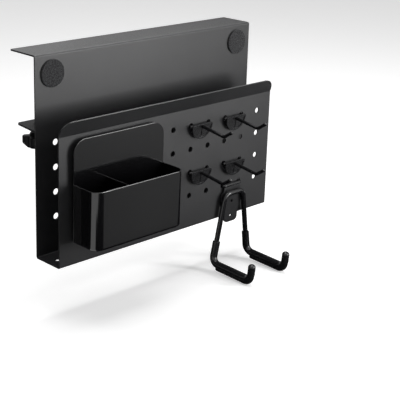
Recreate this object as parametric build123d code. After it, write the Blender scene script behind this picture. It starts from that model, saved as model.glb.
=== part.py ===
from build123d import *

import os
from math import cos, radians, sin, tan

# A side organizer for a desk. One folded steel panel hangs on the desk's edge by its top flange,
# and two screw clamps under the desk top hold it there. Its front board is a pegboard, where a
# divided bin, four hooks and a hanger with two arms hang by bent prongs.
# Sizes are in millimetres and angles in degrees. X runs along the desk's edge, +Y points in under
# the desk and +Z up. The origin is the middle of the flange's underside, the face that sits on
# the desk top.

# Folded panel
panel_length = 290.0
sheet = 1.5
bend_inside = 0.8
seat_depth = 36.4
flange_corner = 2.0
wall_height = 198.5
channel_inside = 33.5
board_height = 129.5
lip_rise = 14.0
lip_angle = 20.0
lip_corner = 12.0

# Holes in the panel
peg_pitch = 25.0
peg_columns = 11
peg_rows = 4
peg_first_row = 36.0
peg_hole_radius = 3.0
wall_hole_radius = 3.25
wall_hole_inset = 23.5
wall_hole_first_row = 38.5
wall_hole_rows = 4
wall_hole_pitch = 25.0
floor_hole_radius = 3.0
floor_hole_inset = 12.0
floor_hole_setback = 17.3

# Soft pads on the outside of the tall wall
edge_pad_radius = 13.5
edge_pad_thickness = 2.0
edge_pad_inset = 20.0
edge_pad_drop = 17.5

# Clamp brackets
clamp_inset = 28.0
clamp_reach = 33.0
bracket_width = 38.0
bracket_tip_width = 26.0
bracket_depth = 49.0
bracket_sheet = 2.0
bracket_bend_inside = 1.5
bracket_corner = 4.0
leg_corner = 5.0
shelf_drop = 75.3
leg_height = 30.0
shelf_hole_radius = 3.6

# Studs and nuts that hold the brackets
stud_radius = 2.0
stud_spacing = 20.0
stud_height = 17.0
stud_length = 7.5
stud_hole_radius = 2.2
stud_nut_flats = 7.0
stud_nut_height = 3.2

# Clamp screws
screw_radius = 3.0
screw_chamfer = 0.6
weld_nut_flats = 10.0
weld_nut_height = 5.0
running_gap = 0.08
end_gap = 0.2
spigot_radius = 2.0
spigot_length = 2.7
desk_gap = 2.5
pressure_radius = 7.0
pressure_plate_height = 1.2
pressure_boss_radius = 4.0
pressure_boss_height = 3.0
pressure_pad_radius = 6.5
pressure_pad_height = 1.5

# Clamp knobs
knob_radius = 15.0
knob_core_radius = 10.0
knob_lobe_radius = 4.5
knob_valley_radius = 2.0
knob_lobes = 5
knob_rest_turn = 53.5
knob_height = 11.3
knob_hub_radius = 7.8
knob_hub_top_radius = 6.8
knob_hub_height = 3.5
knob_gap = 0.9
knob_bevel = 4.5
knob_bevel_margin = 1.0
knob_edge = 1.0
knob_base = 4.0

# Prongs that hang in the board's holes
prong_radius = 1.8
prong_bend = 2.1
prong_front = 3.1
prong_back = 3.8
prong_top = 7.0
prong_drop = 0.3
wire_end_rounding = 0.9

# Hooks
hook_droop = 8.5
upper_left_shift = -0.9
upper_right_shift = -0.6
lower_left_shift = -0.4
lower_right_shift = 0.3
hook_base_width = 29.0
hook_base_top = 2.4
hook_base_thickness = 3.5
hook_base_back = 3.0
hook_base_corner = 1.5
hook_rim = 1.5
hook_recess = 0.8
hook_slot_width = 1.2
hook_slot_depth = 2.0
hook_slot_height = 9.0
hook_seat_gap = 0.05
hook_rod_radius = 1.75
hook_rod_length = 30.5
hook_tip_length = 12.0
hook_tip_angle = 42.0
hook_bend = 5.0

# Bin
bin_droop = 0.5
bin_width = 114.0
bin_plate_above = 15.0
bin_plate_below = 86.5
bin_plate_thickness = 1.2
bin_plate_corner = 14.0
bin_plate_foot_corner = 3.0
bin_stand_off = 5.0
tray_depth = 32.0
tray_height = 58.5
tray_wall = 1.2
tray_corner = 10.0
tray_foot = 3.0
divider_offset = -16.0
divider_thickness = 1.2
bumper_radius = 5.0
bumper_inset = 12.0
bumper_height = 7.0
bumper_seat_gap = 0.2

# Hanger
hanger_droop = 2.0
hanger_slack = 0.2
hanger_plate_thickness = 2.0
hanger_neck_width = 25.0
hanger_neck_height = 4.0
hanger_shoulder_width = 32.0
hanger_shoulder_height = 12.0
hanger_tongue_width = 20.0
hanger_plate_length = 41.0
hanger_plate_corner = 4.0
hanger_tongue_corner = 5.0
hanger_hole_radius = 1.6
hanger_hole_heights = (19.0, 36.0)
hanger_wire_radius = 2.75
hanger_bend = 8.0
hanger_arch_top = 8.0
hanger_arch_half = 13.6
hanger_foot_half = 27.0
hanger_foot = 83.6
hanger_arm = 55.5
hanger_tip_rise = 14.4
hanger_tip_lean = 3.0
sleeve_radius = 4.0
sleeve_bore_gap = 0.05
sleeve_top = 60.0
sleeve_cap = 1.4
sleeve_tip_round = 3.0
keel_radius = 3.6
keel_drop = 3.3

# Places that follow from the sizes above
wall_back_y = -(bend_inside + seat_depth / 2)
wall_front_y = wall_back_y - sheet
flange_back_y = seat_depth / 2
board_mid_y = wall_front_y - channel_inside - sheet / 2
floor_z = -wall_height
floor_mid_z = floor_z + sheet / 2
lip_start_z = floor_z + board_height
lip_top_z = lip_start_z + lip_rise
lip_top_y = board_mid_y - lip_rise * tan(radians(lip_angle))
clamp_y = wall_back_y + clamp_reach
shelf_top_z = -shelf_drop
shelf_bottom_z = shelf_top_z - bracket_sheet
stud_z = shelf_top_z + stud_height
pressure_pad_top_z = -desk_gap
pressure_plate_top_z = pressure_pad_top_z - pressure_pad_height
pressure_plate_bottom_z = pressure_plate_top_z - pressure_plate_height
screw_shoulder_z = pressure_plate_bottom_z - pressure_boss_height - end_gap
weld_nut_foot_z = shelf_bottom_z - weld_nut_height
knob_top_z = weld_nut_foot_z - knob_gap
knob_foot_z = knob_top_z - knob_hub_height - knob_height
screw_foot_z = knob_foot_z + knob_base
row_z = [floor_z + peg_first_row + row * peg_pitch for row in range(peg_rows)]
column_x = [(column - (peg_columns - 1) / 2) * peg_pitch for column in range(peg_columns)]
hook_half_span = peg_pitch / 2
hook_left_x = 1.5 * peg_pitch
hook_right_x = 3.5 * peg_pitch
hanger_x = hook_right_x
bin_x = -3 * peg_pitch
bin_half_span = peg_pitch
bin_plate_front = bin_stand_off + bin_plate_thickness


def prism_along_y(outline, front, back):
    """Turns an outline drawn in X and Z into a solid between two places along Y."""
    return extrude(Plane(origin=(0, front, 0), x_dir=(1, 0, 0), z_dir=(0, -1, 0)) * outline, front - back)


def folded_sheet(points, thickness, inside_radius, width):
    """Folds a strip along points in Y and Z, which follow the middle of its thickness."""
    path = FilletPolyline(*points, radius=inside_radius + thickness / 2)
    return extrude(Plane.YZ * trace(path, thickness), width / 2, both=True)


def wire(points, bend, radius):
    """Bends a round wire along its points, with one bend radius at every corner."""
    path = FilletPolyline(*points, radius=bend)
    return sweep(Plane(origin=path @ 0, z_dir=path % 0) * Circle(radius), path)


def with_round_end(rod, end, rounding):
    """Rounds the edge of a rod's end face, which is centred on a point."""
    circles = rod.edges().filter_by(GeomType.CIRCLE)
    return fillet(circles.sort_by(lambda edge: (edge.arc_center - Vector(end)).length)[0], rounding)


def drilled_along_y(x, y, z, radius, depth):
    """A drill through a vertical sheet, centred on the sheet's middle."""
    return Pos(x, y, z) * Rot(90, 0, 0) * Cylinder(radius, depth)


def lip_corner_waste(side):
    """What the rounded end corner takes off the lip."""
    depth = 6 * sheet + lip_rise
    centre_x = side * (panel_length / 2 - lip_corner)
    block = Pos(side * panel_length / 2, lip_top_y, lip_top_z) * Box(2 * lip_corner, depth, 2 * lip_corner)
    centre_z = lip_top_z - lip_corner
    return block - drilled_along_y(centre_x, lip_top_y, centre_z, lip_corner, depth)


def main_panel():
    """Flange, tall wall, channel floor, pegboard and flared lip, folded from one sheet."""
    points = (
        (flange_back_y, sheet / 2),
        (wall_back_y - sheet / 2, sheet / 2),
        (wall_back_y - sheet / 2, floor_mid_z),
        (board_mid_y, floor_mid_z),
        (board_mid_y, lip_start_z),
        (lip_top_y, lip_top_z),
    )
    panel = folded_sheet(points, sheet, bend_inside, panel_length)
    panel = fillet(panel.edges().filter_by(Axis.Z).group_by(Axis.Y)[-1], flange_corner)
    panel -= [lip_corner_waste(side) for side in (-1, 1)]
    drills = [
        drilled_along_y(x, board_mid_y, z, peg_hole_radius, 2 * sheet)
        for x in column_x
        for z in row_z
    ]
    for side in (-1, 1):
        for row in range(wall_hole_rows):
            x = side * (panel_length / 2 - wall_hole_inset)
            z = floor_z + wall_hole_first_row + row * wall_hole_pitch
            drills.append(drilled_along_y(x, wall_back_y - sheet / 2, z, wall_hole_radius, 2 * sheet))
        x = side * (panel_length / 2 - floor_hole_inset)
        drills.append(Pos(x, wall_front_y - floor_hole_setback, floor_mid_z) * Cylinder(floor_hole_radius, 2 * sheet))
    return panel - drills


def edge_pad(side):
    """A round soft pad on the outside of the tall wall."""
    x = side * (panel_length / 2 - edge_pad_inset)
    y = wall_front_y - edge_pad_thickness / 2
    return drilled_along_y(x, y, -edge_pad_drop, edge_pad_radius, edge_pad_thickness)


def clamp_x(side):
    """Where the clamp's screw stands along the panel."""
    return side * (panel_length / 2 - clamp_inset)


def stud_places(side):
    """Where the studs stand along the panel on one side."""
    return [clamp_x(side) + step * stud_spacing / 2 for step in (-1, 1)]


def shelf_outline():
    """The clamp shelf seen from above: full width at the bend, narrower at its rounded end."""
    bend_end = wall_back_y + bracket_sheet + bracket_bend_inside
    half = [
        (bracket_width, wall_back_y - sheet),
        (bracket_width, bend_end),
        (bracket_width / 2, bend_end),
        (bracket_tip_width / 2, wall_back_y + bracket_depth),
    ]
    outline = make_face(Polyline(*half, *[(-x, y) for x, y in reversed(half)], close=True))
    return fillet(outline.vertices().group_by(Axis.Y)[-1], bracket_corner)


def clamp_bracket(side):
    """A bent bracket: its tapered shelf carries the screw, its leg is bolted to the tall wall."""
    leg_mid_y = wall_back_y + bracket_sheet / 2
    shelf_mid_z = shelf_top_z - bracket_sheet / 2
    points = (
        (wall_back_y + bracket_depth, shelf_mid_z),
        (leg_mid_y, shelf_mid_z),
        (leg_mid_y, shelf_bottom_z + leg_height),
    )
    bracket = folded_sheet(points, bracket_sheet, bracket_bend_inside, bracket_width)
    bracket = fillet(bracket.edges().filter_by(Axis.Y).group_by(Axis.Z)[-1], leg_corner)
    bracket &= extrude(shelf_outline(), 2 * wall_height, both=True)
    bracket = Pos(clamp_x(side), 0, 0) * bracket
    bracket -= Pos(clamp_x(side), clamp_y, shelf_mid_z) * Cylinder(shelf_hole_radius, 2 * bracket_sheet)
    return bracket - [
        drilled_along_y(x, leg_mid_y, stud_z, stud_hole_radius, 2 * bracket_sheet) for x in stud_places(side)
    ]


def bracket_studs():
    """Welded studs on the back of the tall wall."""
    return [
        drilled_along_y(x, wall_back_y + stud_length / 2, stud_z, stud_radius, stud_length)
        for side in (-1, 1)
        for x in stud_places(side)
    ]


def bracket_nuts():
    """Hexagon nuts on the studs, against the bracket's leg."""
    seat_y = wall_back_y + bracket_sheet
    outline = RegularPolygon(stud_nut_flats / 2, 6, major_radius=False) - Circle(stud_radius + sleeve_bore_gap)
    nut = prism_along_y(outline, seat_y, seat_y + stud_nut_height)
    return [Pos(x, 0, stud_z) * nut for side in (-1, 1) for x in stud_places(side)]


def clamp_nut(side):
    """The nut welded under the shelf, which the clamp's screw turns in."""
    outline = RegularPolygon(weld_nut_flats / 2, 6, major_radius=False) - Circle(screw_radius + running_gap)
    return Pos(clamp_x(side), clamp_y, weld_nut_foot_z) * extrude(outline, weld_nut_height)


def clamp_screw(side):
    """The clamp's screw, from inside the knob up to the spigot that the pressure plate swivels on."""
    thread_length = screw_shoulder_z - screw_foot_z
    shank = Cylinder(screw_radius, thread_length, align=(Align.CENTER, Align.CENTER, Align.MIN))
    shank = chamfer(shank.edges().group_by(Axis.Z)[-1], screw_chamfer)
    base = (Align.CENTER, Align.CENTER, Align.MIN)
    spigot = Pos(0, 0, thread_length) * Cylinder(spigot_radius, spigot_length, align=base)
    return Pos(clamp_x(side), clamp_y, screw_foot_z) * (shank + spigot)


def clamp_knob(side):
    """A star knob at the foot of the screw, with a hub that tapers up the screw."""
    base = (Align.CENTER, Align.CENTER, Align.MIN)
    first_lobe = 90 - side * knob_rest_turn
    lobe_places = PolarLocations(knob_radius - knob_lobe_radius, knob_lobes, start_angle=first_lobe)
    star = Circle(knob_core_radius) + [Circle(knob_lobe_radius).moved(place) for place in lobe_places]
    star = fillet(star.vertices(), knob_valley_radius)
    envelope = Cylinder(knob_radius + knob_bevel_margin, knob_height, align=base)
    envelope = chamfer(envelope.edges().group_by(Axis.Z)[0], knob_bevel + knob_bevel_margin)
    knob = extrude(star, knob_height) & envelope
    knob = fillet(knob.edges().group_by(Axis.Z)[-1], knob_edge)
    knob += Pos(0, 0, knob_height) * Cone(knob_hub_radius, knob_hub_top_radius, knob_hub_height, align=base)
    bore_depth = knob_height + knob_hub_height - knob_base
    knob -= Pos(0, 0, knob_base) * Cylinder(screw_radius + sleeve_bore_gap, bore_depth, align=base)
    return Pos(clamp_x(side), clamp_y, knob_foot_z) * knob


def pressure_plate(side):
    """The flared steel foot that presses up on the desk, with a blind bore for the spigot."""
    base = (Align.CENTER, Align.CENTER, Align.MIN)
    boss = Cone(pressure_boss_radius, pressure_radius, pressure_boss_height, align=base)
    disc = Pos(0, 0, pressure_boss_height) * Cylinder(pressure_radius, pressure_plate_height, align=base)
    bore = Cylinder(spigot_radius + running_gap, spigot_length, align=base)
    boss_bottom_z = pressure_plate_bottom_z - pressure_boss_height
    return Pos(clamp_x(side), clamp_y, boss_bottom_z) * (boss + disc - bore)


def pressure_pad(side):
    """The rubber disc glued on the pressure plate."""
    base = (Align.CENTER, Align.CENTER, Align.MIN)
    place = Pos(clamp_x(side), clamp_y, pressure_plate_top_z)
    return place * Cylinder(pressure_pad_radius, pressure_pad_height, align=base)


def staple(half_span):
    """A crossbar in front of the board, with a prong through it and up behind it at each end."""
    points = (
        (-half_span, prong_back, prong_top),
        (-half_span, prong_back, 0),
        (-half_span, -prong_front, 0),
        (half_span, -prong_front, 0),
        (half_span, prong_back, 0),
        (half_span, prong_back, prong_top),
    )
    return wire(points, prong_bend, prong_radius)


def hung(part, x, z, droop):
    """Places a part, drawn about its prongs' axis, at a hole row, with its front leaning down."""
    return Pos(x, board_mid_y, z) * Rot(droop, 0, 0) * part


def hook_wire():
    """Prongs, and a rod welded to their crossbar that ends in a raised tip."""
    rod_end = hook_base_back + hook_base_thickness + hook_rod_length
    reach = hook_tip_length + hook_rod_radius
    tip = (0, -rod_end - reach * cos(radians(hook_tip_angle)), reach * sin(radians(hook_tip_angle)))
    rod = wire(((0, -prong_front, 0), (0, -rod_end, 0), tip), hook_bend, hook_rod_radius)
    return staple(hook_half_span) + with_round_end(rod, tip, wire_end_rounding * hook_rod_radius)


def hook_outline(inset):
    """The half-round face of a hook's base, drawn smaller by an inset."""
    radius = hook_base_width / 2 - inset
    round_centre = hook_base_top - hook_base_corner
    disc = Pos(0, round_centre) * Circle(radius)
    top = Pos(0, hook_base_top - inset) * Rectangle(2 * radius, 4 * radius, align=(Align.CENTER, Align.MAX))
    outline = disc & top
    return fillet(outline.vertices().group_by(Axis.Y)[-1], hook_base_corner / 2)


def hook_base():
    """The plastic plate behind a hook's rod, with a rim, and a rebate where the crossbar lies."""
    front = -(hook_base_back + hook_base_thickness)
    base = prism_along_y(hook_outline(0), front, -hook_base_back)
    base -= prism_along_y(hook_outline(hook_rim), front, front + hook_recess)
    rebate_bottom = prong_radius + hook_seat_gap
    rebate_depth = prong_front + rebate_bottom - hook_base_back
    rebate_middle = -hook_base_back - rebate_depth / 2
    rebate_height = rebate_bottom + 2 * hook_base_top
    rebate_place = Pos(0, rebate_middle, rebate_height / 2 - rebate_bottom)
    base -= rebate_place * Box(2 * hook_base_width, rebate_depth, rebate_height)
    base -= drilled_along_y(0, front, 0, hook_rod_radius + hook_seat_gap, 2 * hook_base_thickness)
    slot_reach = hook_rod_radius + hook_slot_height
    return base - Pos(0, front, -slot_reach / 2) * Box(hook_slot_width, 2 * hook_slot_depth, slot_reach)


def bin_back_plate():
    """The bin's back plate, which stands off the board."""
    height = bin_plate_above + bin_plate_below
    outline = Pos(0, bin_plate_above - height / 2) * Rectangle(bin_width, height)
    outline = fillet(outline.vertices().group_by(Axis.Y)[-1], bin_plate_corner)
    outline = fillet(outline.vertices().group_by(Axis.Y)[0], bin_plate_foot_corner)
    return prism_along_y(outline, -bin_plate_front, -bin_stand_off)


def tray_block(inset):
    """The tray's outer shape, or the space inside it when it is drawn smaller by its wall."""
    depth = tray_depth - inset
    height = tray_height - inset
    block = Box(bin_width - 2 * inset, depth, height, align=(Align.CENTER, Align.MAX, Align.MIN))
    block = fillet(block.edges().filter_by(Axis.Z).group_by(Axis.Y)[0], tray_corner - inset)
    foot = block.edges().group_by(Axis.Z)[0].sort_by(Axis.Y)[:-1]
    block = fillet(foot, tray_foot - inset)
    return Pos(0, -bin_plate_front, inset - bin_plate_below) * block


def bin_tray():
    """The open tray, closed at its back by the plate."""
    return tray_block(0) - tray_block(tray_wall)


def bin_divider():
    """The upright wall that parts the tray in two."""
    slab = Box(divider_thickness, 3 * tray_depth, 3 * tray_height)
    return tray_block(tray_wall) & (Pos(divider_offset, -bin_plate_front, -bin_plate_below) * slab)


def bin_bumpers():
    """Soft feet behind the plate's lower corners, which rest on the board."""
    z = bumper_height - bin_plate_below
    lowest = bumper_radius - z
    thickness = bin_stand_off - sheet / 2 - lowest * sin(radians(bin_droop)) - bumper_seat_gap
    x = bin_width / 2 - bumper_inset
    y = thickness / 2 - bin_stand_off
    return [drilled_along_y(side * x, y, z, bumper_radius, thickness) for side in (-1, 1)]


def hanger_plate():
    """The hanger's plate, welded under its crossbar."""
    top = -prong_radius
    neck = hanger_neck_width / 2
    shoulder = hanger_shoulder_width / 2
    tongue = hanger_tongue_width / 2
    shoulder_z = top - hanger_neck_height
    bottom = top - hanger_plate_length
    half = [
        (neck, top),
        (neck, shoulder_z),
        (shoulder, shoulder_z - hanger_neck_height),
        (shoulder, shoulder_z - hanger_shoulder_height),
        (tongue, bottom + hanger_shoulder_height),
        (tongue, bottom),
    ]
    outline = make_face(Polyline(*half, *[(-x, z) for x, z in reversed(half)], close=True))
    shoulders = [corner for corner in outline.vertices() if abs(abs(corner.X) - shoulder) < hanger_plate_corner / 2]
    outline = fillet(shoulders, hanger_plate_corner)
    outline = fillet(outline.vertices().group_by(Axis.Y)[0], hanger_tongue_corner)
    outline -= [Pos(0, -height) * Circle(hanger_hole_radius) for height in hanger_hole_heights]
    middle = -prong_front
    return prism_along_y(outline, middle - hanger_plate_thickness / 2, middle + hanger_plate_thickness / 2)


def hanger_route(side, extra):
    """One half of the hanger's wire, from the arch's middle to its tip, lengthened by extra."""
    y = -(prong_front + hanger_plate_thickness / 2 + hanger_wire_radius)
    arm_y = y - hanger_arm
    rise = hanger_tip_rise + extra
    tip_y = arm_y - rise * tan(radians(hanger_tip_lean))
    return [
        (side * hanger_arch_half, y, -hanger_arch_top),
        (side * hanger_foot_half, y, -hanger_foot),
        (side * hanger_foot_half, arm_y, -hanger_foot),
        (side * hanger_foot_half, tip_y, rise - hanger_foot),
    ]


def hanger_frame():
    """One bent wire: an arch, two legs that spread, two arms and their raised tips."""
    points = list(reversed(hanger_route(-1, 0))) + hanger_route(1, 0)
    return wire(points, hanger_bend, hanger_wire_radius)


def hanger_sleeve(side):
    """The soft sleeve over one arm, with a keel under the arm, closed and rounded at its tip."""
    arch, foot, arm, tip = hanger_route(side, 0)
    share = (sleeve_top - hanger_arch_top) / (hanger_foot - hanger_arch_top)
    start = tuple(a + share * (b - a) for a, b in zip(arch, foot))
    skin = wire((start, foot, arm, tip), hanger_bend, sleeve_radius)
    keel_start = Vector(foot) - Vector(0, hanger_bend, keel_drop)
    keel_corner = Vector(arm) - Vector(0, 0, keel_drop)
    keel = wire((keel_start, keel_corner, (Vector(arm) + Vector(tip)) / 2), hanger_bend, keel_radius)
    bore = wire((start, foot, arm, tip), hanger_bend, hanger_wire_radius + sleeve_bore_gap)
    end_plane = Plane(origin=tip, z_dir=(Vector(tip) - Vector(arm)).normalized())
    cap = end_plane * extrude(Circle(sleeve_radius), sleeve_cap + sleeve_radius / 2)
    cap = fillet(cap.edges().sort_by_distance(Vector(arm))[-1], sleeve_tip_round)
    return skin + keel - bore + cap


os.makedirs("parts", exist_ok=True)


def save(node, shapes):
    """Writes one node, a solid or a group of separate solids."""
    group = shapes if isinstance(shapes, list) else [shapes]
    solids = [solid for shape in group for solid in shape.solids()]
    whole = solids[0] if len(solids) == 1 else Compound(children=solids)
    export_step(whole, f"parts/{node}.step")


save("main_panel", main_panel())
save("bracket_studs", bracket_studs())
save("bracket_nuts", bracket_nuts())

for name, side in (("left", -1), ("right", 1)):
    save(f"edge_pad_{name}", edge_pad(side))
    save(f"clamp_bracket_{name}", clamp_bracket(side))
    save(f"clamp_nut_{name}", clamp_nut(side))
    save(f"clamp_screw_{name}", clamp_screw(side))
    save(f"clamp_knob_{name}", clamp_knob(side))
    save(f"pressure_plate_{name}", pressure_plate(side))
    save(f"pressure_pad_{name}", pressure_pad(side))

# Each hook hangs a little to one side in its holes, as it was left.
hook_places = {
    "upper_left": (hook_left_x + upper_left_shift, row_z[3]),
    "upper_right": (hook_right_x + upper_right_shift, row_z[3]),
    "lower_left": (hook_left_x + lower_left_shift, row_z[1]),
    "lower_right": (hook_right_x + lower_right_shift, row_z[1]),
}
for name, (x, z) in hook_places.items():
    save(f"hook_{name}_wire", hung(hook_wire(), x, z - prong_drop, hook_droop))
    save(f"hook_{name}_base", hung(hook_base(), x, z - prong_drop, hook_droop))


def in_bin_place(part):
    """Hangs a piece of the bin in the top row of holes."""
    return hung(part, bin_x, row_z[3] - prong_drop, bin_droop)


save("bin_back_plate", in_bin_place(bin_back_plate()))
save("bin_tray", in_bin_place(bin_tray()))
save("bin_divider", in_bin_place(bin_divider()))
save("bin_prongs", in_bin_place(staple(bin_half_span)))
save("bin_bumpers", [in_bin_place(bumper) for bumper in bin_bumpers()])


def in_hanger_place(part):
    """Hangs a piece of the hanger in the bottom row of holes."""
    return hung(part, hanger_x + hanger_slack, row_z[0] - prong_drop, hanger_droop)


save("hanger_plate", in_hanger_place(hanger_plate()))
save("hanger_prongs", in_hanger_place(staple(hook_half_span)))
save("hanger_frame", in_hanger_place(hanger_frame()))
save("hanger_sleeve_left", in_hanger_place(hanger_sleeve(-1)))
save("hanger_sleeve_right", in_hanger_place(hanger_sleeve(1)))
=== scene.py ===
"""Studio scene of a side organizer that clamps to the edge of a desk.

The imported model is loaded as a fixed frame, each sub-assembly is dressed by a class of its own,
and the studio is lit and seen as in the photograph. Lengths are in metres and angles in degrees,
but for the camera's turn, which is in radians.
"""

from __future__ import annotations

import logging
from dataclasses import dataclass
from enum import Enum
from math import radians

import bpy
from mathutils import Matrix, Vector


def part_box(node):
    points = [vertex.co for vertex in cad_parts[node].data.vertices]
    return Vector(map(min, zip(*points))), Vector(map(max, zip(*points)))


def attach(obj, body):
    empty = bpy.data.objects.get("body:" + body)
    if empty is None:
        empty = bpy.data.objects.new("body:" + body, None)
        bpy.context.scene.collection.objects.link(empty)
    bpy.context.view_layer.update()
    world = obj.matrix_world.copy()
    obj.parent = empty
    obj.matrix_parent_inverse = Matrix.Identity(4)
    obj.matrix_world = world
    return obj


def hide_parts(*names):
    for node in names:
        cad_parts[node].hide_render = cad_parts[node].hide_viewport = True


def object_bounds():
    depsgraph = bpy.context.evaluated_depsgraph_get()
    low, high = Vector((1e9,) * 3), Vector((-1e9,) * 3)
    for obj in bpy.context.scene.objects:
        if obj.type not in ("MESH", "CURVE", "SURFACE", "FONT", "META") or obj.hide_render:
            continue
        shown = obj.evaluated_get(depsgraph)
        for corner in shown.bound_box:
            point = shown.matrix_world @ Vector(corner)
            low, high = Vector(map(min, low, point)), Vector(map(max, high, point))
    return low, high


logging.basicConfig(level=logging.INFO, format="%(message)s")
log = logging.getLogger("organizer")

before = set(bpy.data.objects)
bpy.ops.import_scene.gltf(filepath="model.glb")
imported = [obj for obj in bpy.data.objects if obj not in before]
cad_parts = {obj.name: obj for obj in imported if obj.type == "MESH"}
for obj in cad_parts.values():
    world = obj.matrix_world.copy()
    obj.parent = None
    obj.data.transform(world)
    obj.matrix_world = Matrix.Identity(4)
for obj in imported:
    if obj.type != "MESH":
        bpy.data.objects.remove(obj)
cad_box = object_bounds()

MM = 0.001

MERGE_DISTANCE = 0.002 * MM
FLAT_ANGLE = 0.3
SMOOTH_ANGLE = 35.0
SHARP_ANGLE = 40.0
FLAT_WEIGHT = 100
BAR_SIDES = 48

FLOOR_GAP = 0.3 * MM
FLOOR_SHADE = 0.9
FLOOR_ROUGHNESS = 0.9
WHITE = (1.0, 1.0, 1.0, 1.0)

GRAIN_MASK_RANGE = (0.35, 0.65)
DRIFT_RANGE = (0.38, 0.62)
DRIFT_DETAIL = 3.0


class Side(Enum):
    """The two ends of the panel."""

    LEFT = "left"
    RIGHT = "right"


class HookPlace(Enum):
    """Where the four hooks hang."""

    UPPER_LEFT = "upper_left"
    UPPER_RIGHT = "upper_right"
    LOWER_LEFT = "lower_left"
    LOWER_RIGHT = "lower_right"


@dataclass(frozen=True)
class GrainShape:
    """How a fine grain is drawn: soft noise, mixed with small cells."""

    stretch: tuple[float, float, float] = (1.0, 1.0, 1.0)
    detail: float = 2.0
    distortion: float = 0.2
    cell_share: float = 0.2


class SurfaceKind(Enum):
    """What a finish's fine grain looks like."""

    POWDER = GrainShape(cell_share=0.55)
    FIBRE = GrainShape(detail=6.0, distortion=1.4)
    MOULDED = GrainShape()
    DRAWN = GrainShape(stretch=(1.0, 1.0, 0.08))


class Covering(Enum):
    """What a studio card is covered with: its name, and how light its grey is."""

    BLACK_CLOTH = ("black flag cloth", 0.01)
    GREY_PAPER = ("grey card", 0.25)


def new_group(
    name: str, inputs: dict[str, str], outputs: dict[str, str]
) -> bpy.types.ShaderNodeTree:
    """Adds an empty shader node group.

    Args:
        name: The group's name.
        inputs: The kind of socket of each input.
        outputs: The kind of socket of each output.

    Returns:
        The group, with its sockets.
    """
    tree = bpy.data.node_groups.new(name, "ShaderNodeTree")
    for way, sockets in (("INPUT", inputs), ("OUTPUT", outputs)):
        for word, kind in sockets.items():
            tree.interface.new_socket(word, in_out=way, socket_type=f"NodeSocket{kind}")
    return tree


def grain_group(kind: SurfaceKind) -> bpy.types.ShaderNodeTree:
    """Builds, once, the node group of a fine surface grain.

    Args:
        kind: Which grain the group draws.

    Returns:
        A group with a scale as input, and a height and a mask as outputs.
    """
    name = f"{kind.name.lower()} grain"
    known = bpy.data.node_groups.get(name)
    if known is not None:
        return known
    shape = kind.value
    tree = new_group(name, {"Scale": "Float"}, {"Height": "Float", "Mask": "Float"})
    inside = tree.nodes.new("NodeGroupInput")
    outside = tree.nodes.new("NodeGroupOutput")
    place = tree.nodes.new("ShaderNodeTexCoord")
    stretch = tree.nodes.new("ShaderNodeMapping")
    stretch.inputs["Scale"].default_value = shape.stretch
    noise = tree.nodes.new("ShaderNodeTexNoise")
    noise.inputs["Detail"].default_value = shape.detail
    noise.inputs["Distortion"].default_value = shape.distortion
    cells = tree.nodes.new("ShaderNodeTexVoronoi")
    cells.feature = "SMOOTH_F1"
    blend = tree.nodes.new("ShaderNodeMix")
    blend.data_type = "FLOAT"
    blend.inputs["Factor"].default_value = shape.cell_share
    limit = tree.nodes.new("ShaderNodeMapRange")
    limit.inputs["From Min"].default_value = GRAIN_MASK_RANGE[0]
    limit.inputs["From Max"].default_value = GRAIN_MASK_RANGE[1]
    link = tree.links.new
    link(place.outputs["Object"], stretch.inputs["Vector"])
    for texture in (noise, cells):
        link(stretch.outputs["Vector"], texture.inputs["Vector"])
        link(inside.outputs["Scale"], texture.inputs["Scale"])
    link(noise.outputs["Fac"], blend.inputs["A"])
    link(cells.outputs["Distance"], blend.inputs["B"])
    link(blend.outputs["Result"], outside.inputs["Height"])
    link(noise.outputs["Fac"], limit.inputs["Value"])
    link(limit.outputs["Result"], outside.inputs["Mask"])
    return tree


def drift_group() -> bpy.types.ShaderNodeTree:
    """Builds, once, the node group that lets a colour drift over a large surface.

    Returns:
        A group with two colours and a scale as inputs, and a colour as output.
    """
    name = "tone drift"
    known = bpy.data.node_groups.get(name)
    if known is not None:
        return known
    inputs = {"Dark": "Color", "Light": "Color", "Scale": "Float"}
    tree = new_group(name, inputs, {"Colour": "Color"})
    inside = tree.nodes.new("NodeGroupInput")
    outside = tree.nodes.new("NodeGroupOutput")
    place = tree.nodes.new("ShaderNodeTexCoord")
    noise = tree.nodes.new("ShaderNodeTexNoise")
    noise.inputs["Detail"].default_value = DRIFT_DETAIL
    contrast = tree.nodes.new("ShaderNodeMapRange")
    contrast.inputs["From Min"].default_value = DRIFT_RANGE[0]
    contrast.inputs["From Max"].default_value = DRIFT_RANGE[1]
    blend = tree.nodes.new("ShaderNodeMix")
    blend.data_type = "RGBA"
    link = tree.links.new
    link(place.outputs["Object"], noise.inputs["Vector"])
    link(inside.outputs["Scale"], noise.inputs["Scale"])
    link(noise.outputs["Fac"], contrast.inputs["Value"])
    link(contrast.outputs["Result"], blend.inputs["Factor"])
    link(inside.outputs["Dark"], blend.inputs["A"])
    link(inside.outputs["Light"], blend.inputs["B"])
    link(blend.outputs["Result"], outside.inputs["Colour"])
    return tree


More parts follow.
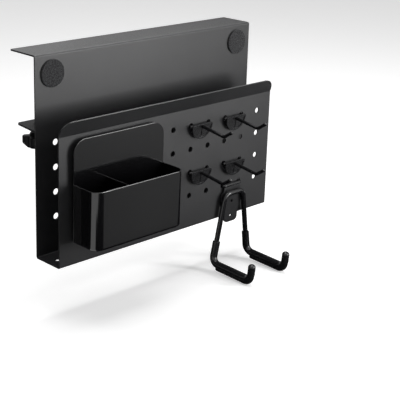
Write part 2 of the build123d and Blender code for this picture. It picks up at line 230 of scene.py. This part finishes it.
@dataclass(frozen=True)
class Finish:
    """A material: its colours, gloss and fine grain.

    Scales are in cycles a metre and depths in metres.
    """

    name: str
    kind: SurfaceKind
    dark: tuple[float, float, float]
    light: tuple[float, float, float]
    roughness: tuple[float, float]
    grain_scale: float
    grain_depth: float
    drift_scale: float = 14.0
    metallic: float = 0.0
    specular: float = 0.5
    sheen: float = 0.0

    def material(self) -> bpy.types.Material:
        """The Blender material, built on its first use."""
        known = bpy.data.materials.get(self.name)
        return known if known is not None else self._build()

    def _build(self) -> bpy.types.Material:
        """Builds the material's nodes.

        Returns:
            The material.
        """
        material = bpy.data.materials.new(self.name)
        material.use_nodes = True
        tree = material.node_tree
        shader = tree.nodes["Principled BSDF"]
        shader.inputs["Metallic"].default_value = self.metallic
        shader.inputs["Specular IOR Level"].default_value = self.specular
        shader.inputs["Sheen Weight"].default_value = self.sheen
        drift = tree.nodes.new("ShaderNodeGroup")
        drift.node_tree = drift_group()
        drift.inputs["Dark"].default_value = (*self.dark, 1.0)
        drift.inputs["Light"].default_value = (*self.light, 1.0)
        drift.inputs["Scale"].default_value = self.drift_scale
        grain = tree.nodes.new("ShaderNodeGroup")
        grain.node_tree = grain_group(self.kind)
        grain.inputs["Scale"].default_value = self.grain_scale
        gloss = tree.nodes.new("ShaderNodeMapRange")
        gloss.inputs["To Min"].default_value = self.roughness[0]
        gloss.inputs["To Max"].default_value = self.roughness[1]
        bump = tree.nodes.new("ShaderNodeBump")
        bump.inputs["Strength"].default_value = 1.0
        bump.inputs["Distance"].default_value = self.grain_depth
        link = tree.links.new
        link(drift.outputs["Colour"], shader.inputs["Base Color"])
        link(grain.outputs["Mask"], gloss.inputs["Value"])
        link(gloss.outputs["Result"], shader.inputs["Roughness"])
        link(grain.outputs["Height"], bump.inputs["Height"])
        link(bump.outputs["Normal"], shader.inputs["Normal"])
        return material


PANEL_COAT = Finish(
    name="satin black powder coat",
    kind=SurfaceKind.POWDER,
    dark=(0.011, 0.011, 0.012),
    light=(0.016, 0.016, 0.017),
    roughness=(0.37, 0.47),
    grain_scale=1100.0,
    grain_depth=0.00005,
)
BIN_COAT = Finish(
    name="smooth black coat",
    kind=SurfaceKind.POWDER,
    dark=(0.003, 0.003, 0.0035),
    light=(0.0045, 0.0045, 0.005),
    roughness=(0.1, 0.14),
    grain_scale=900.0,
    grain_depth=0.000002,
    specular=0.7,
)
BRACKET_COAT = Finish(
    name="matt black bracket coat",
    kind=SurfaceKind.POWDER,
    dark=(0.010, 0.010, 0.011),
    light=(0.014, 0.014, 0.015),
    roughness=(0.5, 0.6),
    grain_scale=1300.0,
    grain_depth=0.00002,
    specular=0.1,
)
WIRE_COAT = Finish(
    name="gloss black wire coat",
    kind=SurfaceKind.POWDER,
    dark=(0.004, 0.004, 0.005),
    light=(0.007, 0.007, 0.008),
    roughness=(0.14, 0.2),
    grain_scale=1200.0,
    grain_depth=0.000003,
)
HANGER_COAT = Finish(
    name="hanger plate coat",
    kind=SurfaceKind.POWDER,
    dark=(0.010, 0.010, 0.011),
    light=(0.014, 0.014, 0.015),
    roughness=(0.32, 0.4),
    grain_scale=1300.0,
    grain_depth=0.000015,
)
BLACK_ZINC = Finish(
    name="black zinc plate",
    kind=SurfaceKind.DRAWN,
    dark=(0.055, 0.055, 0.062),
    light=(0.085, 0.083, 0.09),
    roughness=(0.28, 0.42),
    grain_scale=2200.0,
    grain_depth=0.000008,
    metallic=1.0,
)
KNOB_PLASTIC = Finish(
    name="textured knob plastic",
    kind=SurfaceKind.MOULDED,
    dark=(0.005, 0.005, 0.006),
    light=(0.008, 0.008, 0.009),
    roughness=(0.45, 0.56),
    grain_scale=2600.0,
    grain_depth=0.00003,
    specular=0.15,
)
HOOK_PLASTIC = Finish(
    name="moulded hook plastic",
    kind=SurfaceKind.MOULDED,
    dark=(0.008, 0.008, 0.009),
    light=(0.012, 0.012, 0.013),
    roughness=(0.24, 0.32),
    grain_scale=1500.0,
    grain_depth=0.000008,
)
PAD_FELT = Finish(
    name="pressed felt",
    kind=SurfaceKind.FIBRE,
    dark=(0.010, 0.010, 0.011),
    light=(0.05, 0.05, 0.052),
    roughness=(0.85, 0.97),
    grain_scale=1200.0,
    grain_depth=0.0002,
    drift_scale=900.0,
    specular=0.15,
    sheen=0.15,
)
SOFT_RUBBER = Finish(
    name="matt rubber",
    kind=SurfaceKind.MOULDED,
    dark=(0.02, 0.02, 0.02),
    light=(0.028, 0.028, 0.028),
    roughness=(0.62, 0.75),
    grain_scale=1800.0,
    grain_depth=0.00003,
)
SLEEVE_RUBBER = Finish(
    name="dipped sleeve rubber",
    kind=SurfaceKind.MOULDED,
    dark=(0.006, 0.006, 0.007),
    light=(0.010, 0.010, 0.011),
    roughness=(0.2, 0.26),
    grain_scale=500.0,
    grain_depth=0.000006,
)


def activate(piece: bpy.types.Object) -> None:
    """Selects one object and nothing else, and makes it the active one.

    Args:
        piece: The object.
    """
    bpy.ops.object.select_all(action="DESELECT")
    piece.select_set(True)
    bpy.context.view_layer.objects.active = piece


def apply_modifiers(piece: bpy.types.Object) -> None:
    """Applies every modifier of a piece, from the first to the last.

    Args:
        piece: The piece.
    """
    activate(piece)
    for modifier in list(piece.modifiers):
        bpy.ops.object.modifier_apply(modifier=modifier.name)


def smooth(piece: bpy.types.Object, angle: float = SMOOTH_ANGLE) -> None:
    """Shades a piece smooth where its faces meet at a small angle, and keeps its flats flat.

    Args:
        piece: The piece.
        angle: The largest angle between faces that still looks smooth.
    """
    activate(piece)
    bpy.ops.object.shade_smooth_by_angle(angle=radians(angle))
    level = piece.modifiers.new("level flats", "WEIGHTED_NORMAL")
    level.keep_sharp = True
    level.weight = FLAT_WEIGHT
    bpy.ops.object.modifier_apply(modifier=level.name)


def merged_copy(node: str) -> bpy.types.Object:
    """Copies a CAD node's mesh to a new piece and joins its loose triangles.

    Args:
        node: The CAD node's name.

    Returns:
        The new piece, with flat faces made whole.
    """
    piece = bpy.data.objects.new(f"{node}_dressed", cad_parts[node].data.copy())
    bpy.context.scene.collection.objects.link(piece)
    activate(piece)
    bpy.ops.mesh.customdata_custom_splitnormals_clear()
    bpy.ops.object.mode_set(mode="EDIT")
    bpy.ops.mesh.select_all(action="SELECT")
    bpy.ops.mesh.remove_doubles(threshold=MERGE_DISTANCE)
    bpy.ops.mesh.dissolve_limited(angle_limit=radians(FLAT_ANGLE))
    bpy.ops.object.mode_set(mode="OBJECT")
    return piece


def bevel_edges(piece: bpy.types.Object, width: float, segments: int) -> None:
    """Bevels a piece's sharp edges.

    Args:
        piece: The piece.
        width: The bevel's width.
        segments: How many faces cross it.
    """
    bevel = piece.modifiers.new("soft edges", "BEVEL")
    bevel.width = width
    bevel.segments = segments
    bevel.limit_method = "ANGLE"
    bevel.angle_limit = radians(SHARP_ANGLE)
    apply_modifiers(piece)


def soften_edges(piece: bpy.types.Object, width: float) -> None:
    """Rounds a piece's sharp edges, so that they catch the light as real ones do.

    Args:
        piece: The piece.
        width: How wide the rounding is.
    """
    bevel_edges(piece, width, segments=2)
    smooth(piece)


def join_into(piece: bpy.types.Object, *others: bpy.types.Object) -> None:
    """Joins other pieces into one piece.

    Args:
        piece: The piece that stays.
        others: The pieces that it takes up.
    """
    activate(piece)
    for other in others:
        other.select_set(True)
    bpy.ops.object.join()


def keep_between(piece: bpy.types.Object, low: float, high: float) -> None:
    """Cuts away what lies under one height and over another, and closes the cuts.

    Args:
        piece: The piece.
        low: The lower height.
        high: The upper height.
    """
    activate(piece)
    bpy.ops.object.mode_set(mode="EDIT")
    for height, under in ((low, True), (high, False)):
        bpy.ops.mesh.select_all(action="SELECT")
        bpy.ops.mesh.bisect(
            plane_co=(0.0, 0.0, height),
            plane_no=(0.0, 0.0, 1.0),
            use_fill=True,
            clear_inner=under,
            clear_outer=not under,
        )
    bpy.ops.object.mode_set(mode="OBJECT")


def round_bar(radius: float, low: float, high: float, chamfer: float) -> bpy.types.Object:
    """Models an upright round bar about the Z axis, with chamfered ends.

    Args:
        radius: The bar's radius.
        low: Where it starts.
        high: Where it ends.
        chamfer: How wide the chamfers are.

    Returns:
        The bar.
    """
    middle = (0.0, 0.0, (low + high) / 2)
    bpy.ops.mesh.primitive_cylinder_add(
        vertices=BAR_SIDES, radius=radius, depth=high - low, location=middle
    )
    bar = bpy.context.object
    bpy.ops.object.transform_apply(location=True)
    bevel_edges(bar, chamfer, segments=1)
    return bar


def move_to(piece: bpy.types.Object, x: float, y: float) -> None:
    """Moves a piece's mesh sideways, and leaves its origin where it is.

    Args:
        piece: The piece.
        x: How far it moves along X.
        y: How far it moves along Y.
    """
    piece.location = (x, y, 0.0)
    activate(piece)
    bpy.ops.object.transform_apply(location=True)


def middle_of(node: str) -> tuple[float, float, float]:
    """The middle of a CAD node's box at rest."""
    low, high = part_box(node)
    return tuple((a + b) / 2 for a, b in zip(low, high))


def hand_over(piece: bpy.types.Object, finish: Finish, body: str, node: str) -> None:
    """Gives a finished piece its material and its body, and hides the CAD node that it stands for.

    Args:
        piece: The finished piece.
        finish: The piece's material.
        body: The CAD body that it moves with.
        node: The CAD node that it replaces.
    """
    piece.data.materials.clear()
    piece.data.materials.append(finish.material())
    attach(piece, body)
    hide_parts(node)
    log.info("%s rides on %s, %d faces", piece.name, body, len(piece.data.polygons))


def dress_node(node: str, finish: Finish, body: str, width: float) -> None:
    """Replaces a CAD node by a copy with soft edges and a finish.

    Args:
        node: The CAD node's name.
        finish: The copy's material.
        body: The CAD body that it moves with.
        width: How wide its edges are rounded.
    """
    piece = merged_copy(node)
    soften_edges(piece, width)
    hand_over(piece, finish, body, node)


@dataclass
class FoldedPanel:
    """The folded sheet panel with its felt pads."""

    edge_round: float = 0.3 * MM
    pad_edge_round: float = 0.4 * MM
    felt_cell: float = 0.45 * MM
    felt_lump: float = 0.8 * MM
    felt_depth: float = 0.2 * MM
    felt_smooth_angle: float = 60.0

    def dress(self) -> None:
        """Dresses the panel and its pads."""
        dress_node("main_panel", PANEL_COAT, "panel", self.edge_round)
        for side in Side:
            self._felt_pad(f"edge_pad_{side.value}")

    def _felt_pad(self, node: str) -> None:
        """Models one pad, whose pressed fibres lie in small lumps.

        Args:
            node: The CAD node that the pad replaces.
        """
        piece = merged_copy(node)
        soften_edges(piece, self.pad_edge_round)
        lumps = bpy.data.textures.new(f"{node} lumps", "CLOUDS")
        lumps.noise_scale = self.felt_lump
        cells = piece.modifiers.new("even cells", "REMESH")
        cells.mode = "VOXEL"
        cells.voxel_size = self.felt_cell
        relief = piece.modifiers.new("pressed fibres", "DISPLACE")
        relief.texture = lumps
        relief.strength = self.felt_depth
        relief.mid_level = 1.0
        apply_modifiers(piece)
        smooth(piece, self.felt_smooth_angle)
        hand_over(piece, PAD_FELT, "panel", node)


@dataclass(frozen=True)
class ScrewThread:
    """A right-hand thread about the Z axis.

    The profile gives the corners of one turn: how far up the pitch each one lies, and whether it
    is on the crest. The depths are shares of the pitch.
    """

    crest_radius: float = 3.0 * MM
    pitch: float = 1.0 * MM
    depth: float = 0.61
    core_depth: float = 0.55
    steps: int = 24
    weld_distance: float = 0.001 * MM
    profile: tuple[tuple[float, bool], ...] = (
        (0.0, False),
        (0.125, False),
        (0.44, True),
        (0.56, True),
        (0.875, False),
        (1.0, False),
    )

    @property
    def core_radius(self) -> float:
        """The radius of the bar that fills the thread."""
        return self.crest_radius - self.core_depth * self.pitch

    def wind(self, low: float, high: float) -> bpy.types.Object:
        """Winds the thread.

        Args:
            low: Where it starts.
            high: Where it ends.

        Returns:
            The thread's skin, cut flat and closed at both ends.
        """
        root = self.crest_radius - self.depth * self.pitch
        start = low - self.pitch
        corners = [
            (self.crest_radius if crest else root, 0.0, start + share * self.pitch)
            for share, crest in self.profile
        ]
        skin = bpy.data.meshes.new("thread profile")
        skin.from_pydata(corners, [(n, n + 1) for n in range(len(corners) - 1)], [])
        piece = bpy.data.objects.new("thread", skin)
        bpy.context.scene.collection.objects.link(piece)
        winding = piece.modifiers.new("winding", "SCREW")
        winding.axis = "Z"
        winding.angle = radians(360.0)
        winding.screw_offset = self.pitch
        winding.iterations = int((high - low) / self.pitch) + 2
        winding.steps = self.steps
        winding.render_steps = self.steps
        winding.use_merge_vertices = True
        winding.merge_threshold = self.weld_distance
        apply_modifiers(piece)
        keep_between(piece, low, high)
        return piece


@dataclass
class DeskClamp:
    """One screw clamp under the desk top."""

    side: Side
    thread: ScrewThread = ScrewThread()
    sheet_edge_round: float = 0.3 * MM
    knob_edge_round: float = 0.8 * MM
    spigot_radius: float = 2.0 * MM
    spigot_length: float = 2.7 * MM
    end_chamfer: float = 0.5 * MM
    tip_chamfer: float = 0.3 * MM

    def dress(self) -> None:
        """Dresses the clamp's bracket, nut, plate, pad, screw and knob."""
        word = self.side.value
        foot = f"pressure_foot_{word}"
        screw = f"clamp_screw_{word}"
        for node, finish, body, slot in (
            (f"clamp_bracket_{word}", BRACKET_COAT, "panel", "bracket_coat"),
            (f"clamp_nut_{word}", BLACK_ZINC, "panel", "black_zinc"),
            (f"pressure_plate_{word}", BLACK_ZINC, foot, "black_zinc"),
            (f"pressure_pad_{word}", SOFT_RUBBER, foot, "pad_rubber"),
        ):
            dress_node(node, finish, body, self.sheet_edge_round)
        self._screw(screw)
        dress_node(f"clamp_knob_{word}", KNOB_PLASTIC, screw, self.knob_edge_round)

    def _screw(self, node: str) -> None:
        """Models the clamp's screw, with a real thread up to the spigot's shoulder.

        Args:
            node: The CAD node that the screw replaces, which has its body's name.
        """
        foot, top = (corner[2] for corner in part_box(node))
        shoulder = top - self.spigot_length
        turns = self.thread.wind(foot + self.end_chamfer, shoulder - self.end_chamfer)
        core = round_bar(self.thread.core_radius, foot, shoulder, self.end_chamfer)
        spigot = round_bar(self.spigot_radius, shoulder - self.end_chamfer, top, self.tip_chamfer)
        join_into(core, turns, spigot)
        core.name = f"{node}_threaded"
        x, y, _ = middle_of(node)
        move_to(core, x, y)
        smooth(core)
        hand_over(core, BLACK_ZINC, node, node)


@dataclass
class BracketFasteners:
    """The studs and nuts that hold the clamp brackets to the tall wall."""

    edge_round: float = 0.2 * MM

    def dress(self) -> None:
        """Dresses the studs and the nuts."""
        for node in ("bracket_studs", "bracket_nuts"):
            dress_node(node, BLACK_ZINC, "panel", self.edge_round)


@dataclass
class PenBin:
    """The divided bin that hangs in the board's holes."""

    edge_round: float = 0.5 * MM

    def dress(self) -> None:
        """Dresses the bin's plate, tray, divider, prongs and bumpers."""
        for node in ("bin_back_plate", "bin_tray", "bin_divider"):
            dress_node(node, BIN_COAT, "bin", self.edge_round)
        dress_node("bin_prongs", WIRE_COAT, "bin", self.edge_round)
        dress_node("bin_bumpers", SOFT_RUBBER, "bin", self.edge_round)


@dataclass
class WireHook:
    """One bent-wire hook on a half-round base."""

    place: HookPlace
    wire_edge_round: float = 0.2 * MM
    base_edge_round: float = 0.3 * MM

    def dress(self) -> None:
        """Dresses the hook's wire and base."""
        body = f"hook_{self.place.value}"
        dress_node(f"{body}_wire", WIRE_COAT, body, self.wire_edge_round)
        dress_node(f"{body}_base", HOOK_PLASTIC, body, self.base_edge_round)


@dataclass
class ArmHanger:
    """The hanger: a plate, a bent frame with two arms, and their sleeves."""

    plate_edge_round: float = 0.35 * MM
    wire_edge_round: float = 0.2 * MM
    sleeve_edge_round: float = 0.3 * MM

    def dress(self) -> None:
        """Dresses the hanger's plate, prongs, frame and sleeves."""
        dress_node("hanger_plate", HANGER_COAT, "hanger", self.plate_edge_round)
        for node in ("hanger_prongs", "hanger_frame"):
            dress_node(node, WIRE_COAT, "hanger", self.wire_edge_round)
        for side in Side:
            node = f"hanger_sleeve_{side.value}"
            dress_node(node, SLEEVE_RUBBER, "hanger", self.sleeve_edge_round)


@dataclass(frozen=True)
class SoftLamp:
    """A rectangular soft lamp that points at a place."""

    name: str
    place: tuple[float, float, float]
    target: tuple[float, float, float]
    size: tuple[float, float]
    power: float

    def build(self) -> None:
        """Adds the lamp."""
        bpy.ops.object.light_add(type="AREA", location=self.place)
        lamp = bpy.context.object
        lamp.name = self.name
        lamp.data.shape = "RECTANGLE"
        lamp.data.size, lamp.data.size_y = self.size
        lamp.data.energy = self.power
        aim = Vector(self.target) - lamp.location
        lamp.rotation_euler = aim.to_track_quat("-Z", "Y").to_euler()


@dataclass(frozen=True)
class StudioCard:
    """A dull card that only the part's gloss shows.

    An upright card faces along X, its size is its length along Y and its height, and its middle is
    where it says. Another card lies flat, and its middle's height is from the part's lowest point.
    """

    name: str
    middle: tuple[float, float, float]
    size: tuple[float, float]
    upright: bool = False
    turn: float = 0.0
    covering: Covering = Covering.BLACK_CLOTH

    def build(self) -> None:
        """Adds the card."""
        x, y, height = self.middle
        place = self.middle if self.upright else (x, y, cad_box[0][2] + height)
        tip = radians(90.0) if self.upright else 0.0
        lengths = self.size[::-1] if self.upright else self.size
        bpy.ops.mesh.primitive_plane_add(
            size=1.0, location=place, rotation=(0.0, tip, radians(self.turn))
        )
        card = bpy.context.object
        card.name = self.name
        card.scale = (*lengths, 1.0)
        bpy.ops.object.transform_apply(location=True, rotation=True, scale=True)
        card.data.materials.append(card_material(self.covering))
        card.visible_camera = False
        card.visible_diffuse = False
        card.visible_shadow = False


@dataclass
class Studio:
    """The camera, the pale floor, the cards, the lamps and the world."""

    camera_place: tuple[float, float, float] = (-0.72403, -0.80347, 0.20919)
    camera_turn: tuple[float, float, float] = (1.2747, -0.0229, -0.7593)
    camera_shift: tuple[float, float] = (0.075, -0.125)
    focal_length: float = 97.0
    sensor_width: float = 36.0
    nearest_seen: float = 0.01
    floor_size: float = 6.0
    floor_glow: float = 0.42
    world_strength: float = 0.2
    lamps: tuple[SoftLamp, ...] = (
        SoftLamp("key lamp", (0.55, -0.98, 0.01), (0.0, -0.03, -0.09), (0.5, 0.5), 7.6),
        SoftLamp("edge lamp", (0.64, -0.84, 0.51), (0.0, -0.05, -0.09), (0.16, 0.16), 3.0),
        SoftLamp("rim lamp", (0.62, 0.26, 0.89), (0.0, -0.05, -0.09), (0.16, 0.16), 2.5),
        SoftLamp("top lamp", (0.0, 0.0, 1.2), (0.0, -0.03, -0.09), (1.2, 0.9), 11.0),
    )
    cards: tuple[StudioCard, ...] = (
        StudioCard("studio_left_flag", (-0.3, 0.48, -0.02), (1.04, 0.36), upright=True),
        StudioCard("studio_right_flag", (0.42, 0.25, -0.03), (0.8, 0.32), upright=True),
        StudioCard("studio_end_flag", (0.165, -0.034, -0.13), (0.046, 0.15), upright=True),
        StudioCard("studio_back_flag", (-0.05, 0.165, -FLOOR_GAP / 2), (1.1, 0.37)),
        StudioCard("studio_table_flag", (0.19, -0.13, -FLOOR_GAP / 2), (0.62, 0.22)),
        StudioCard(
            "studio_grey_card",
            (0.6, -0.9, -FLOOR_GAP / 2),
            (1.8, 1.4),
            covering=Covering.GREY_PAPER,
        ),
        StudioCard("studio_front_strip", (-0.058, -0.418, 0.0), (0.3, 0.6), turn=38.0),
    )

    def build(self) -> None:
        """Builds the whole studio."""
        bpy.context.scene.view_settings.view_transform = "Standard"
        self._camera()
        self._floor()
        for card in self.cards:
            card.build()
        self._world()
        for lamp in self.lamps:
            lamp.build()

    def _camera(self) -> None:
        """Sets the camera as it stood for the photograph."""
        bpy.ops.object.camera_add(location=self.camera_place, rotation=self.camera_turn)
        camera = bpy.context.object
        camera.name = "studio camera"
        camera.data.sensor_width = self.sensor_width
        camera.data.lens = self.focal_length
        camera.data.shift_x, camera.data.shift_y = self.camera_shift
        camera.data.clip_start = self.nearest_seen
        bpy.context.scene.camera = camera

    def _floor(self) -> None:
        """Adds a pale floor just under the part."""
        lowest = cad_box[0][2] - FLOOR_GAP
        bpy.ops.mesh.primitive_plane_add(size=self.floor_size, location=(0.0, 0.0, lowest))
        floor = bpy.context.object
        floor.name = "studio_floor"
        floor.data.materials.append(floor_material(self.floor_glow))

    def _world(self) -> None:
        """Lights the scene evenly, and shows white to the camera and in the part's gloss."""
        world = bpy.data.worlds.new("studio world")
        world.use_nodes = True
        bpy.context.scene.world = world
        tree = world.node_tree
        background = tree.nodes["Background"]
        background.inputs["Color"].default_value = WHITE
        strength = tree.nodes.new("ShaderNodeMapRange")
        strength.inputs["To Min"].default_value = self.world_strength
        strength.inputs["To Max"].default_value = 1.0
        tree.links.new(seen_rays(tree), strength.inputs["Value"])
        tree.links.new(strength.outputs["Result"], background.inputs["Strength"])


def seen_rays(tree: bpy.types.NodeTree) -> bpy.types.NodeSocket:
    """Adds nodes that tell the rays that show the background from those that only light the part.

    Args:
        tree: The material's or world's node tree.

    Returns:
        A socket that is one for camera, glossy and transmission rays, and nought for the others.
    """
    rays = tree.nodes.new("ShaderNodeLightPath")
    seen = rays.outputs["Is Camera Ray"]
    for word in ("Is Glossy Ray", "Is Transmission Ray"):
        either = tree.nodes.new("ShaderNodeMath")
        either.operation = "MAXIMUM"
        tree.links.new(seen, either.inputs[0])
        tree.links.new(rays.outputs[word], either.inputs[1])
        seen = either.outputs["Value"]
    return seen


def card_material(covering: Covering) -> bpy.types.Material:
    """Builds, once, a dull and even covering for the studio's cards.

    Args:
        covering: Which covering it is.

    Returns:
        The material.
    """
    name, shade = covering.value
    known = bpy.data.materials.get(name)
    if known is not None:
        return known
    material = bpy.data.materials.new(name)
    material.use_nodes = True
    shader = material.node_tree.nodes["Principled BSDF"]
    shader.inputs["Base Color"].default_value = (shade, shade, shade, 1.0)
    shader.inputs["Roughness"].default_value = 1.0
    shader.inputs["Specular IOR Level"].default_value = 0.0
    return material


def floor_material(glow: float) -> bpy.types.Material:
    """Builds a pale floor paint that looks white, and keeps the part's shadow.

    Args:
        glow: How much white the camera, gloss and glass see besides the lit paint.

    Returns:
        The material.
    """
    material = bpy.data.materials.new("pale floor paint")
    material.use_nodes = True
    tree = material.node_tree
    shader = tree.nodes["Principled BSDF"]
    shader.inputs["Base Color"].default_value = (FLOOR_SHADE, FLOOR_SHADE, FLOOR_SHADE, 1.0)
    shader.inputs["Roughness"].default_value = FLOOR_ROUGHNESS
    shader.inputs["Emission Color"].default_value = WHITE
    level = tree.nodes.new("ShaderNodeMapRange")
    level.inputs["To Max"].default_value = glow
    tree.links.new(seen_rays(tree), level.inputs["Value"])
    tree.links.new(level.outputs["Result"], shader.inputs["Emission Strength"])
    return material


def main() -> None:
    """Builds the studio and dresses every sub-assembly."""
    Studio().build()
    FoldedPanel().dress()
    BracketFasteners().dress()
    for side in Side:
        DeskClamp(side).dress()
    PenBin().dress()
    for place in HookPlace:
        WireHook(place).dress()
    ArmHanger().dress()


if __name__ == "__main__":
    main()
